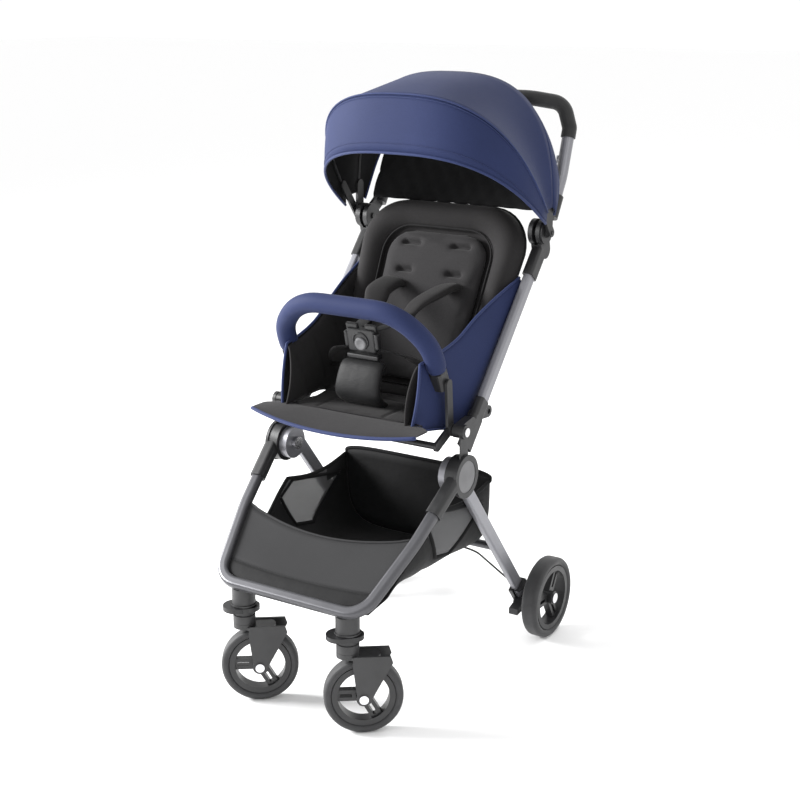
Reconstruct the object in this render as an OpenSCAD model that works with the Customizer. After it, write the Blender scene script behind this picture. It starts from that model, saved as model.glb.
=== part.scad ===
// Baby stroller: X across, -Y is the front, Z up, standing on Z = 0.
// All side parts are drawn on the right (+X) and mirrored.

/* [Frame] */
// Height of the leg hub above the ground
hub_height = 413; // [400:1:425]
// Slope of the front legs below the horizontal
front_slope = 39.3; // [38:0.1:41]
// Slope of the side tubes above the horizontal
side_slope = 49.2; // [48:0.1:50]
// Slope of the rear legs below the horizontal
rear_slope = 51.3; // [50:0.1:52]
// Distance from the hub to the front bar along the front legs
front_leg_len = 311; // [305:1:318]
// Half the width between the front legs at the hub
front_half_top = 198; // [197:0.5:199]
// Half the width where the front legs bend into the front bar
front_half_low = 152; // [148:1:156]

/* [Wheels] */
// Radius of the front wheels
front_wheel_r = 69; // [67:0.5:70]
// Width of the front tyres
front_tyre_w = 29; // [26:1:30]
// Radius of the rear wheels
rear_wheel_r = 80; // [78:0.5:82]
// Width of the rear tyres
rear_tyre_w = 33; // [30:1:34]
// Distance of the caster axes from the middle
caster_x = 112; // [108:1:116]
// How far the wheel trails behind its caster axis
caster_trail = 26; // [22:1:28]
// Direction of the trailing casters, from +X
caster_turn = 37; // [20:1:90]

/* [Seat] */
// Half the width of the seat cushion
seat_half_w = 148; // [140:1:152]
// Slope of the backrest above the horizontal
back_slope = 63.5; // [61:0.5:66]
// Length of the backrest
back_len = 385; // [370:1:390]
// Half the width of the backrest
back_half_w = 172; // [160:1:173]

/* [Canopy] */
// Half the width of the canopy
canopy_half_w = 222; // [219:1:226]
// Reach of the front bow from the canopy pivot
canopy_reach = 316; // [312:1:320]
// Height of the middle bow above the canopy pivot
canopy_crown = 284; // [280:1:288]
// Slope of the front bow above the horizontal
canopy_slope = 53; // [50:1:55]
// Depth of the visor below the front bow
visor_depth = 104; // [90:1:110]

/* [Bumper] */
// Rise of the bumper bar above its sockets, along its slope
bumper_reach = 113; // [105:1:120]
// Diameter of the padded bumper bar
bumper_d = 36; // [32:1:38]

/* [Hidden] */
$fn = 48;
fine = 96;
fit = 0.05;
gap = 0.4;
cloth = 3;

// Places in the side view, as [y, z] from the hub's centre.
front_out = 271;
rear_out = 414;
hub_y = (front_out - rear_out) / 2;
fold_at = [-3, 82];
block_at = [285, 392];
seat_back_at = [116, 88];
bumper_at = [-20, 189];
bumper_rise = 66;
arm_x = 157;
arm_in = 170.6;
caster_at_y = -233;
rear_wheel_at = [302, rear_wheel_r - hub_height];
pedal_at = [266, rear_wheel_at[1] - 8];

// Layers across the hub, from the middle outwards.
rear_in = 166;
rear_face = 181.9;
socket_in = 182.4;
socket_out = 202.4;
plate_in = 199.9;
cover_out = 208;
hub_r = 37;
hub_pin_r = 7;
fold_pin_r = 5;

// Tubes: width across X and height in the side view.
side_x = 190.5;
side_w = 16;
side_h = 24;
tube_off = 17;
front_w = 20;
front_h = 18;
rear_x = 174;
rear_w = 14;
rear_h = 26;
handle_x = 190.5;
handle_d = 23;
grip_d = 28;

function unit(v) = v / norm(v);
function polar(r, a) = [r * cos(a), r * sin(a)];
function steps(n) = [for (i = [0 : n]) i / n];
function lerp(a, b, t) = a + (b - a) * t;

// ---------- placing ----------

module both() {
    children();
    mirror([1, 0, 0]) children();
}

module at_hub(yz = [0, 0]) translate([0, hub_y + yz[0], hub_height + yz[1]]) children();

// Local +Y runs along a direction in the side view; local +Z is a quarter turn ahead of it.
module along(angle, yz = [0, 0]) at_hub(yz) rotate([angle, 0, 0]) children();

// A cylinder along X from x0 to x1.
module across(x0, x1, r) translate([x0, 0, 0]) rotate([0, 90, 0]) cylinder(r = r, h = x1 - x0, $fn = fine);

// An outline in the side view, pushed out along X from x0 to x1.
module side_plate(x0, x1) translate([x0, 0, 0]) rotate([90, 0, 90]) linear_extrude(x1 - x0) children();

// ---------- outlines ----------

function corner(c, r, a0, a1) = [for (t = steps(4)) c + polar(r, lerp(a0, a1, t))];

function round_box(w, h, r) = concat(
    corner([w / 2 - r, h / 2 - r], r, 0, 90),
    corner([r - w / 2, h / 2 - r], r, 90, 180),
    corner([r - w / 2, r - h / 2], r, 180, 270),
    corner([w / 2 - r, r - h / 2], r, 270, 360));

module oval(w, h, r = 6) polygon(round_box(w, h, r));

// A bar with round ends between two points of an outline.
module link(a, b, w) {
    u = unit(b - a) * (w / 2 - 0.1);
    n = [-u[1], u[0]];
    polygon([a + n, a - n, b - n, b + n]);
    translate(a) circle(d = w);
    translate(b) circle(d = w);
}

// ---------- bent tubes ----------

function turn(p, i) = let (a = unit(p[i] - p[i - 1]), b = unit(p[i + 1] - p[i])) acos(a * b);
function inset(p, r, i) = i == 0 || i == len(p) - 1 ? 0 : r[i] * tan(turn(p, i) / 2);

// The points of a path in space, with each bend as an arc of n steps.
function arc(p, r, i, n) = let (
    a = unit(p[i] - p[i - 1]), b = unit(p[i + 1] - p[i]), out = unit(b - a * (a * b)),
    c = p[i] - a * inset(p, r, i) + out * r[i])
    [for (k = [0 : n]) let (t = turn(p, i) * k / n) c - out * r[i] * cos(t) + a * r[i] * sin(t)];

function rounded(p, r, n = 8) = concat(
    [p[0]], [for (i = [1 : len(p) - 2]) each arc(p, r, i, n)], [p[len(p) - 1]]);

function tangents(q) = let (last = len(q) - 1)
    [for (i = [0 : last]) i == 0 ? unit(q[1] - q[0]) : i == last ? unit(q[i] - q[i - 1])
        : unit(unit(q[i + 1] - q[i]) + unit(q[i] - q[i - 1]))];

// Directions square to the path, turned as little as possible from ring to ring.
function uprights(ts, up, i = 0) = i == len(ts) ? [] :
    let (m = unit(up - ts[i] * (up * ts[i]))) concat([m], uprights(ts, m, i + 1));

// An outline carried along a path: its y starts along up.
module sweep(q, outline, up) {
    ts = tangents(q);
    ms = uprights(ts, up);
    n = len(outline);
    last = len(q) - 1;
    points = [for (i = [0 : last], v = outline) q[i] + v[0] * cross(ts[i], ms[i]) + v[1] * ms[i]];
    sides = [for (i = [0 : last - 1], j = [0 : n - 1]) let (a = i * n + j, b = i * n + (j + 1) % n)
        each [[a, b, b + n], [a, b + n, a + n]]];
    polyhedron(points = points, faces = concat(
        sides, [[for (j = [n - 1 : -1 : 0]) j]], [[for (j = [0 : n - 1]) last * n + j]]));
}

function ring(d, n = 20) = [for (k = [0 : n - 1]) polar(d / 2, 360 * k / n)];

// ---------- cloth panels ----------

// A closed solid between two grids of points, each a list of equally long rows.
module panel(outer, inner) {
    rows = len(outer);
    cols = len(outer[0]);
    size = rows * cols;
    quads = concat(
        [for (i = [0 : rows - 2], j = [0 : cols - 2]) let (a = i * cols + j) [a, a + cols, a + cols + 1, a + 1]],
        [for (i = [0 : rows - 2], j = [0 : cols - 2]) let (a = size + i * cols + j) [a, a + 1, a + cols + 1, a + cols]],
        [for (i = [0 : rows - 2]) let (a = i * cols) [a, a + size, a + size + cols, a + cols]],
        [for (i = [0 : rows - 2]) let (a = i * cols + cols - 1) [a, a + cols, a + size + cols, a + size]],
        [for (j = [0 : cols - 2]) [j, j + 1, j + 1 + size, j + size]],
        [for (j = [0 : cols - 2]) let (a = (rows - 1) * cols + j) [a, a + size, a + size + 1, a + 1]]);
    faces = [for (q = quads) each [[q[0], q[1], q[2]], [q[0], q[2], q[3]]]];
    polyhedron(points = concat([for (row = outer) each row], [for (row = inner) each row]), faces = faces);
}

// ---------- front frame ----------

module front_plane() along(180 + front_slope) translate([0, 0, -tube_off]) children();

front_path = [
    [front_half_top - 4, 62], [184, 158], [front_half_low, front_leg_len],
    [-front_half_low, front_leg_len], [-184, 158], [4 - front_half_top, 62]];
front_bends = [0, 300, 45, 45, 300, 0];

// A straight length of the front leg between two distances from the hub.
module front_leg(from, to) front_plane() {
    lean = atan2(front_path[1][0] - front_path[0][0], front_path[1][1] - front_path[0][1]);
    translate([front_path[0][0], front_path[0][1], 0]) rotate([0, 0, -lean])
        translate([0, from - front_path[0][1], 0]) rotate([-90, 0, 0]) linear_extrude(to - from) children();
}

module front_frame() color([0.30, 0.30, 0.32]) front_plane()
    sweep(rounded([for (p = front_path) [p[0], p[1], 0]], front_bends), round_box(front_w, front_h, 6), [0, 0, 1]);

module front_sockets() color([0.10, 0.10, 0.11]) both() difference() {
    union() {
        at_hub() across(socket_in, socket_out, hub_r);
        at_hub() side_plate(plate_in, socket_out) link([0, 0], fold_at, 26);
        at_hub(fold_at) across(plate_in, plate_in + 7, 13);
        front_leg(22, 98) oval(front_w + 6, front_h + 6, 7);
    }
    at_hub() across(socket_in - 1, socket_out + 1, hub_pin_r + fit);
    at_hub() across(socket_out + 0.08, cover_out + 4, hub_r + 2.4);
    at_hub(fold_at) across(plate_in - 1, plate_in + 8, fold_pin_r + fit);
    front_leg(62, 120) oval(front_w + 0.3, front_h + 0.3);
}

module hub_covers() color([0.09, 0.09, 0.10]) both() at_hub() difference() {
    across(socket_out + 0.1, cover_out, hub_r + 2);
    across(socket_out + 2.5, cover_out + 1, hub_r - 8);
}

module hub_caps() color([0.34, 0.34, 0.35]) both() at_hub() across(socket_out + 2.6, cover_out - 0.8, hub_r - 8.4);

module hub_pins() color([0.5, 0.5, 0.52]) both() at_hub() {
    across(rear_in - 6, socket_out, hub_pin_r);
    across(rear_in - 8, rear_in - gap, hub_pin_r + 5);
}

// ---------- casters ----------

module at_caster(side) translate([side * caster_x, hub_y + caster_at_y, 0]) children();

// Local +Y trails, local X is the wheel's axis.
module at_fork(side) at_caster(side) rotate([0, 0, caster_turn - 90]) children();

module at_front_wheel(side) at_fork(side) translate([0, caster_trail, front_wheel_r]) children();

column_r = 21;
collar_top = 187;
fork_top = 150;
lock_z = 177;

module caster_columns() color([0.16, 0.16, 0.17]) for (side = [-1, 1]) at_caster(side) {
    difference() {
        union() {
            translate([0, 0, collar_top]) cylinder(r = column_r, h = 50, $fn = fine);
            translate([0, 0, fork_top + gap]) cylinder(r = column_r - 1, h = 15, $fn = fine);
            translate([0, 0, lock_z + 7]) cylinder(r = column_r + 2, h = collar_top - lock_z - 7, $fn = fine);
            translate([0, 0, fork_top + gap]) cylinder(r = column_r - 3, h = collar_top - fork_top, $fn = fine);
        }
        translate([-side * caster_x, -caster_at_y - hub_y, 0]) front_plane()
            translate([-300, 200, -100]) cube([600, 200, 100 + front_h / 2 + 0.1]);
    }
    translate([0, 0, fork_top - 8]) cylinder(r = 8, h = 15, $fn = fine);
}

// Oval ring lever around the column that locks the swivel.
module swivel_lock(side) color([0.08, 0.08, 0.09]) at_caster(side) translate([0, 0, lock_z - 2]) difference() {
    linear_extrude(8) {
        circle(r = column_r + 3, $fn = fine);
        translate([-9, -9]) circle(r = column_r + 4, $fn = fine);
        translate([8, 3]) circle(r = column_r - 1, $fn = fine);
    }
    translate([0, 0, -1]) cylinder(r = column_r - 2.6, h = 10, $fn = fine);
}

module fork_cheek() side_plate(front_tyre_w / 2 + 3, front_tyre_w / 2 + 8) difference() {
    union() {
        polygon([[-19, 62], [-17, 78], [46, 78], [50, 66], [12, -4], [-10, -8]]);
        circle(r = 13);
    }
    circle(r = 5 + fit);
}

module caster_fork(side) color([0.15, 0.15, 0.16]) {
    difference() {
        at_fork(side) cylinder(r = column_r - 1, h = fork_top, $fn = fine);
        at_fork(side) cylinder(r = 8 + fit, h = fork_top + 1, $fn = fine);
        at_fork(side) translate([-50, -50, -1]) cube([100, 100, 2 * front_wheel_r + 4]);
    }
    at_fork(side) difference() {
        translate([0, 17, 2 * front_wheel_r + 2]) linear_extrude(5) {
            circle(r = front_tyre_w / 2 + 8, $fn = fine);
            translate([0, 16]) circle(r = front_tyre_w / 2 + 8, $fn = fine);
        }
        translate([0, 0, 2 * front_wheel_r]) cylinder(r = 8 + fit, h = 20, $fn = fine);
    }
    at_front_wheel(side) both() fork_cheek();
}

// ---------- wheels ----------

// Tyre cross-section: a rounded band around the rim.
module tyre(r, rim_r, w) rotate([0, 90, 0]) rotate_extrude($fn = fine)
    translate([(r + rim_r) / 2, 0]) polygon(round_box(r - rim_r, w, (r - rim_r) * 0.48));

spoke_count = 3;

module rim(r, w, bore, hub_w) difference() {
    union() {
        rotate([0, 90, 0]) rotate_extrude($fn = fine) translate([r - 5.1, 0]) square([10, w - 5], center = true);
        across(-hub_w / 2, hub_w / 2, 13);
        for (i = [0 : spoke_count - 1]) rotate([90 + 360 / spoke_count * i, 0, 0]) difference() {
            translate([-7, -10, 0]) cube([14, 20, r - 6]);
            translate([-9, -3.5, 20]) cube([18, 7, r - 34]);
        }
    }
    across(-hub_w, hub_w, bore);
}

module front_wheel_tyre(side) color([0.17, 0.17, 0.18]) at_front_wheel(side) tyre(front_wheel_r, front_wheel_r - 14, front_tyre_w);
module front_wheel_rim(side) color([0.12, 0.12, 0.13])
    at_front_wheel(side) rim(front_wheel_r - 14, front_tyre_w, 5 + fit, front_tyre_w + 4);

module front_bolt(side) color([0.75, 0.75, 0.77]) at_front_wheel(side) {
    half = front_tyre_w / 2 + 8;
    across(-half - 1, half + 1, 5);
    both() across(half, half + 4, 8);
}

rear_wheel_x = 235 - rear_tyre_w / 2;

module at_rear_wheel(side) at_hub(rear_wheel_at) translate([side * rear_wheel_x, 0, 0]) children();
module rear_wheel_tyre(side) color([0.17, 0.17, 0.18]) at_rear_wheel(side) tyre(rear_wheel_r, rear_wheel_r - 16, rear_tyre_w);
module rear_wheel_rim(side) color([0.12, 0.12, 0.13])
    at_rear_wheel(side) rim(rear_wheel_r - 16, rear_tyre_w, 6 + fit, rear_tyre_w - 1);

// ---------- rear frame ----------

module rear_line() along(-rear_slope) translate([rear_x, 0, 13]) children();

module rear_legs() color([0.46, 0.46, 0.49]) both() difference() {
    union() {
        at_hub() across(rear_in, rear_face, 30);
        rear_line() translate([0, 20, 0]) rotate([-90, 0, 0]) linear_extrude(404) oval(rear_w, rear_h, 4);
    }
    at_hub() across(rear_in - 1, rear_face + 1, hub_pin_r + fit);
}

module rear_cross_tube() color([0.13, 0.13, 0.14])
    along(-rear_slope, [0, 0]) translate([0, 262, 13]) across(rear_w / 2 - rear_x, rear_x - rear_w / 2, 8);

module rear_brackets() color([0.09, 0.09, 0.10]) both() difference() {
    union() {
        at_hub(rear_wheel_at) across(168, 199, 19);
        rear_line() translate([-10, 396, -18]) cube([24, 60, 34]);
        at_hub(pedal_at) across(168, 196, 9);
        at_hub(rear_wheel_at) translate([168, -36, -16]) cube([28, 36, 20]);
    }
    rear_line() translate([0, 20, 0]) rotate([-90, 0, 0]) linear_extrude(404) oval(rear_w + 0.2, rear_h + 0.2, 4);
    at_hub(rear_wheel_at) across(160, 205, 6 + fit);
    at_hub(pedal_at) translate([172, -30, -30]) cube([20, 60, 60]);
}

module rear_axles() color([0.6, 0.6, 0.62]) both() at_hub(rear_wheel_at) {
    across(160, 235.5, 6);
    across(235.5, 238, 10);
}

cable_route = [
    [161.5, 284, -318], [150, 255, -290], [132, 172, -214], [100, 164, -206],
    [-100, 164, -206], [-132, 172, -214], [-150, 255, -290], [-161.5, 284, -318]];

module brake_cable() color([0.06, 0.06, 0.06]) at_hub()
    sweep(rounded(cable_route, [0, 20, 20, 20, 20, 20, 20, 0], 5), ring(4, 8), [0, 0, 1]);

module brake_pedal() color([0.08, 0.08, 0.09]) at_hub(pedal_at) difference() {
    union() {
        across(172 + gap, 192 - gap, 9);
        side_plate(172 + gap, 192 - gap) polygon([[0, 9], [-34, -2], [-34, -14], [-6, -9]]);
    }
    across(160, 200, 4);
}

// ---------- side tubes ----------

module side_line() along(side_slope) translate([side_x, 0, tube_off]) children();
sleeve_top = 142;
block_low = 399;

module side_tubes() color([0.42, 0.42, 0.45]) both()
    side_line() translate([0, 100, 0]) rotate([-90, 0, 0]) linear_extrude(350) oval(side_w, side_h, 5);

module side_sleeves() color([0.08, 0.08, 0.09]) both() difference() {
    union() {
        side_line() translate([0, 46, 0]) rotate([-90, 0, 0]) linear_extrude(sleeve_top - 46) oval(side_w + 1.6, side_h + 6, 6);
        side_line() translate([0, 46, 0]) rotate([-90, 0, 0]) linear_extrude(62) oval(side_w + 1.6, side_h + 10, 6);
        at_hub() side_plate(side_x - side_w / 2 + 1, plate_in - gap) link(fold_at, fold_at + [34, 6], 24);
        at_hub() side_plate(176.8, side_x - 6) link([62, 92], seat_back_at, 22);
    }
    at_hub(seat_back_at) across(176, 186, 5 + fit);
    side_line() translate([0, 100, 0]) rotate([-90, 0, 0]) linear_extrude(350) oval(side_w + 0.2, side_h + 0.2, 5);
    at_hub(fold_at) across(170, 210, fold_pin_r);
}
module fold_pins() color([0.7, 0.7, 0.72]) both() at_hub(fold_at) {
    across(arm_in, plate_in + 7.4, fold_pin_r);
    across(plate_in + 7 + gap, plate_in + 9.5, fold_pin_r + 3);
}

tongue_in = 187.3;
tongue_out = 193.7;

module mid_blocks() color([0.08, 0.08, 0.09]) both() difference() {
    union() {
        side_line() translate([0, block_low, 0]) rotate([-90, 0, 0]) linear_extrude(72) oval(side_w + 5, side_h + 6, 6);
        at_hub() side_plate(side_x - 10.5, side_x + 10.5) link(block_at, block_at + [8, -34], 34);
        at_hub(block_at) across(178, 202, 24);
    }
    side_line() translate([0, 100, 0]) rotate([-90, 0, 0]) linear_extrude(350.1) oval(side_w + 0.2, side_h + 0.2, 5);
    at_hub(block_at) across(tongue_in - gap, tongue_out + gap, 26);
    at_hub(block_at) across(170, 210, 6);
}

module block_covers() color([0.13, 0.13, 0.14]) both() at_hub(block_at) {
    across(175, 202, 6 - fit);
    difference() {
        across(202.1, 206, 22);
        translate([203, -14, -2]) cube([5, 28, 2]);
    }
}

// ---------- handle ----------

function hub_point(x, y, z) = [x, y, z - 413];
handle_half = [
    hub_point(handle_x, 333, 838), hub_point(handle_x, 368, 897), hub_point(handle_x, 397, 985),
    hub_point(handle_x - 12, 394, 1030), hub_point(132, 352, 1041)];
handle_bends = [0, 90, 90, 30, 40];
handle_path = concat(handle_half, [for (i = [4 : -1 : 0]) [-handle_half[i][0], handle_half[i][1], handle_half[i][2]]]);
handle_radii = concat(handle_bends, [for (i = [4 : -1 : 0]) handle_bends[i]]);

module handle_tube() color([0.42, 0.42, 0.45]) at_hub() difference() {
    handle_shape(handle_d);
    at_button() translate([0, 0, -3]) linear_extrude(6) oval(16.6, 8.6, 4);
}

module handle_shape(d) sweep(rounded(handle_path, handle_radii), ring(d), [0, 1, 0]);

grip_start = 0.80;
grip_path = [
    lerp(handle_half[1], handle_half[2], grip_start), handle_half[2], handle_half[3], handle_half[4],
    handle_half[4] + [-34, 0, 0]];

module handle_grips() color([0.07, 0.07, 0.08]) both() at_hub() difference() {
    sweep(rounded(grip_path, [0, 12, 30, 40, 0]), ring(grip_d), [0, 1, 0]);
    handle_shape(handle_d + 0.2);
}

module handle_knuckles() color([0.08, 0.08, 0.09]) both() at_hub() difference() {
    union() {
        side_plate(tongue_in, tongue_out) link(block_at, [334, 424], 28);
        handle_start(-14, 30) circle(d = handle_d + 6);
    }
    translate([0, block_at[0], block_at[1]]) across(tongue_in - 1, tongue_out + 1, 6);
    handle_start(-0.1, 40) circle(d = handle_d + 0.2);
}

// A straight length of the handle's foot, measured from the tube's end.
module handle_start(from, to) {
    rise = handle_half[1] - handle_half[0];
    translate(handle_half[0]) rotate([atan2(rise[2], rise[1]), 0, 0]) translate([0, from, 0])
        rotate([-90, 0, 0]) linear_extrude(to - from) children();
}

button_at = lerp(handle_half[1], handle_half[2], 0.35);

// Local Z leaves the tube's inner side.
module at_button() translate(button_at - [handle_d / 2, 0, 0]) rotate([0, -90, 0]) children();

module handle_button() color([0.85, 0.85, 0.86]) at_hub() at_button()
    translate([0, 0, -0.6]) linear_extrude(3.4) oval(16, 8, 3.9);

// ---------- canopy ----------

// A bow's outline: half-width w, reach h from the pivot, at turn t from the right foot to the left.
function bow_x(w, t) = w * sign(cos(t)) * pow(abs(cos(t)), 0.74);
function bow_reach(h, t) = h * pow(abs(sin(t)), 0.61);
function bow_point(w, h, t, slope) = [bow_x(w, t), -bow_reach(h, t) * cos(slope), bow_reach(h, t) * sin(slope)];
bow_turns = [for (i = [0 : 24]) lerp(4, 176, i / 24)];

module at_pivot() at_hub(block_at) children();

mid_slope = 90;
rear_half_w = 211;
function rear_slope_at(t) = lerp(126, 103, pow(sin(t), 0.7));
function rear_point(t) = bow_point(rear_half_w, 214, t, rear_slope_at(t));
function mid_point(t) = bow_point(216, canopy_crown, t, mid_slope);
function front_point(t) = bow_point(canopy_half_w, canopy_reach, t, canopy_slope);
function visor_point(t) = let (p = front_point(t), f = pow(bow_reach(1, t), 0.9))
    [p[0] * lerp(1, 1.08, f), p[1] - visor_depth * f * cos(82), p[2] - visor_depth * f * sin(82)];

function between(a, b, s, bulge) = [for (i = [0 : len(a) - 1]) let (m = lerp(a[i], b[i], s)) m * (1 + bulge * 4 * s * (1 - s))];
function ring_of(f) = [for (t = bow_turns) f == 0 ? rear_point(t) : f == 1 ? mid_point(t) : f == 2 ? front_point(t) : visor_point(t)];
function shrink(row, d) = [for (p = row) p * (1 - d / norm(p))];

// Cloth between bow a and bow b; s0 and s1 leave a hair of room at each bow.
module canopy_cloth(a, b, s0, s1, bulge) at_pivot() {
    rows = [for (k = [0 : 5]) between(ring_of(a), ring_of(b), lerp(s0, s1, k / 5), bulge)];
    panel([for (row = rows) shrink(row, -cloth)], [for (row = rows) shrink(row, 0)]);
}

module canopy_rear() color([0.13, 0.17, 0.36]) canopy_cloth(0, 1, 0, 0.94, 0.02);
module canopy_front_panel() color([0.14, 0.19, 0.40]) canopy_cloth(1, 2, 0.03, 0.97, 0.015);
module canopy_visor() color([0.15, 0.20, 0.42]) canopy_cloth(2, 3, 0.04, 1, 0);

// A bow's rod, just inside its cloth.
module bow_rod(w, h, slope) at_pivot()
    sweep([for (t = [for (k = steps(36)) lerp(6, 174, k)]) bow_point(w, h, t, slope)], ring(5, 10), [0, 1, 0]);

bow_room = 3.5;
module canopy_mid_bow() color([0.10, 0.10, 0.11]) bow_rod(216 - bow_room, canopy_crown - bow_room, mid_slope);

module canopy_front_bow() color([0.10, 0.10, 0.11]) {
    bow_rod(canopy_half_w - bow_room, canopy_reach - bow_room, canopy_slope);
    both() at_pivot() difference() {
        side_plate(213, 217) link([0, 0], polar(80, 180 - canopy_slope), 16);
        across(212, 220, 4 + fit);
    }
}

module canopy_clamps() color([0.08, 0.08, 0.09]) both() at_pivot() {
    difference() {
        side_plate(206.9, 212.4) link([0, 0], polar(60, 180 - mid_slope), 20);
        across(206.8, 208.4, 4);
    }
    across(212.4, 218.6, 4);
}

// ---------- seat ----------

seat_top = 92;
seat_low = 74;
module seat_base() color([0.11, 0.11, 0.12]) at_hub() side_plate(-seat_half_w, seat_half_w)
    polygon([[-92, seat_top - 2], [-76, seat_top], [46, seat_top], [46, seat_low], [-92, seat_low]]);

flap_nose = -133;
module seat_flap() color([0.12, 0.12, 0.13]) at_hub() translate([0, 0, seat_low]) linear_extrude(14)
    polygon(concat(
        [[seat_half_w, -92.3], [-seat_half_w, -92.3]],
        [for (t = steps(12)) let (x = lerp(-seat_half_w, seat_half_w, t)) [x, lerp(-100, flap_nose, pow(sin(180 * t), 0.8))]]));

socket_foot = bumper_at + polar(-26, 180 - bumper_rise);
seat_bar_at = [-46, 62];
module seat_arms() color([0.09, 0.09, 0.10]) difference() {
    union() {
        both() at_hub() side_plate(arm_in, arm_in + 5.4) {
            link(fold_at, socket_foot, 18);
            link(fold_at, seat_bar_at, 18);
        }
        both() at_hub(fold_at) across(arm_in + 1, side_x - side_w / 2 - 1.4, 11);
        both() at_hub(socket_foot) across(arm_x + 5, arm_in + 1, 6);
        at_hub(seat_bar_at) across(-arm_in - 1, arm_in + 1, 6);
    }
    both() at_hub(fold_at) across(arm_in - 1, 200, fold_pin_r + fit);
}

module crotch_pad() color([0.10, 0.10, 0.11]) at_hub()
    side_plate(-44, 44) polygon([[-34, seat_top + gap], [-14, seat_top + gap], [-6, 174], [-22, 178]]);

buckle_at = [-14, 216];
buckle_lean = 12;
module at_buckle() along(buckle_lean, buckle_at) children();

module buckle() color([0.07, 0.07, 0.08]) at_buckle() difference() {
    translate([-33, -9, -34]) cube([66, 18, 66]);
    translate([0, -10, 3]) rotate([-90, 0, 0]) cylinder(r = 13 + gap, h = 10);
}

module buckle_button() color([0.16, 0.16, 0.17]) at_buckle() translate([0, -12, 3]) rotate([-90, 0, 0]) cylinder(r = 13, h = 8.5);

// ---------- backrest ----------

module back_line() along(back_slope, seat_back_at) children();

module recline_bar() color([0.12, 0.12, 0.13]) at_hub(seat_back_at) {
    across(-181.4, 181.4, 5);
    both() across(154, 176.4, 9);
}

module backrest() color([0.12, 0.12, 0.12]) difference() {
    back_line() translate([0, 0, -16]) linear_extrude(36) polygon(concat(
        [[back_half_w - 26, -12], [back_half_w - 6, 90]],
        corner([back_half_w - 70, back_len - 70], 70, 0, 90),
        corner([70 - back_half_w, back_len - 70], 70, 90, 180),
        [[6 - back_half_w, 90], [26 - back_half_w, -12]]));
    back_line() translate([0, 30, 4]) linear_extrude(40) pad_outline(0.3);
    at_hub(seat_back_at) across(-200, 200, 5 + fit);
}

module pad_outline(grow) polygon(concat(
    [[112 + grow, -grow], [118 + grow, 200]],
    corner([62, 244], 54 + grow, 0, 90),
    corner([-62, 244], 54 + grow, 90, 180),
    [[-118 - grow, 200], [-112 - grow, -grow]]));

module backrest_pad() color([0.13, 0.13, 0.13]) back_line() translate([0, 30, 4.3]) linear_extrude(12) pad_outline(0);

module shoulder_pads() color([0.09, 0.09, 0.10]) both() back_line() translate([47, 190, 17])
    rotate([0, 0, 8]) linear_extrude(20) oval(40, 110, 12);

// ---------- side wings ----------

wing_in = 154.5;
module side_wing() color([0.10, 0.13, 0.28]) at_hub() side_plate(side_x - 13, side_x - 11)
    polygon([[-100, 84], [-88, 150], [-30, 232], [70, 262], [160, 330], [222, 392], [236, 340], [190, 268], [90, 150], [40, 100]]);

// ---------- bumper ----------

// Local -Y runs up the bar's slope from its sockets.
module at_bumper() at_hub(bumper_at) rotate([-bumper_rise, 0, 0]) children();

bumper_path = [
    [arm_x, 0, 0], [arm_x, -50, 0], [104, -bumper_reach, 0],
    [-104, -bumper_reach, 0], [-arm_x, -50, 0], [-arm_x, 0, 0]];

module bumper_bar() color([0.13, 0.18, 0.38]) at_bumper()
    sweep(rounded(bumper_path, [0, 50, 80, 80, 50, 0]), ring(bumper_d), [0, 0, 1]);

socket_len = 34;
module bumper_ends() color([0.06, 0.06, 0.07]) both() at_bumper() difference() {
    translate([arm_x, gap, 0]) rotate([-90, 0, 0]) linear_extrude(socket_len) oval(26, 30, 7);
    translate([arm_x - 20, 3, -5]) cube([19, 12, 10]);
    translate([0, 26, 0]) across(arm_x + 4.6, arm_x + 20, 6 + fit);
}

module bumper_tabs() color([0.15, 0.15, 0.16]) both() at_bumper() translate([arm_x - 15, 4, -4]) cube([13, 8, 8]);

// ---------- soft parts of the frame ----------

module footrest_panel() color([0.20, 0.20, 0.21]) front_plane() translate([0, 0, 3]) linear_extrude(cloth) polygon(concat(
    [[-140, 285], [140, 285], [158, 235], [170, 160]],
    [for (t = steps(8)) [lerp(166, -166, t), 158 + 24 * sin(180 * t)]],
    [[-170, 160], [-158, 235]]));

basket_x = 160;
basket_side = [[-40, -40], [166, -80], [162, -205], [60, -196], [-12, -194], [-140, -172], [-196, -150]];
module basket() color([0.09, 0.09, 0.10]) at_hub() difference() {
    side_plate(-basket_x, basket_x) polygon(basket_side);
    side_plate(cloth - basket_x, basket_x - cloth)
        polygon([[-40, -36], [-40, 0], [200, 0], [162, -80], [158, -201], [60, -192], [-12, -190], [-139, -168], [-220, -140]]);
}

front_frame();
front_sockets();
hub_covers();
hub_caps();
hub_pins();
caster_columns();
footrest_panel();
basket();
rear_legs();
rear_cross_tube();
rear_brackets();
rear_axles();
brake_cable();
brake_pedal();
rear_wheel_tyre(-1);  // rear_tyre_left
rear_wheel_tyre(1);  // rear_tyre_right
rear_wheel_rim(-1);  // rear_rim_left
rear_wheel_rim(1);  // rear_rim_right
swivel_lock(-1);  // swivel_lock_left
swivel_lock(1);  // swivel_lock_right
caster_fork(-1);  // caster_fork_left
caster_fork(1);  // caster_fork_right
front_wheel_tyre(-1);  // front_tyre_left
front_wheel_tyre(1);  // front_tyre_right
front_wheel_rim(-1);  // front_rim_left
front_wheel_rim(1);  // front_rim_right
front_bolt(-1);  // front_bolt_left
front_bolt(1);  // front_bolt_right
side_tubes();
side_sleeves();
fold_pins();
mid_blocks();
block_covers();
mirror([1, 0, 0]) side_wing();  // side_wing_left
side_wing();  // side_wing_right
handle_tube();
handle_grips();
handle_knuckles();
handle_button();
canopy_rear();
canopy_clamps();
canopy_mid_bow();
canopy_front_bow();
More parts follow.
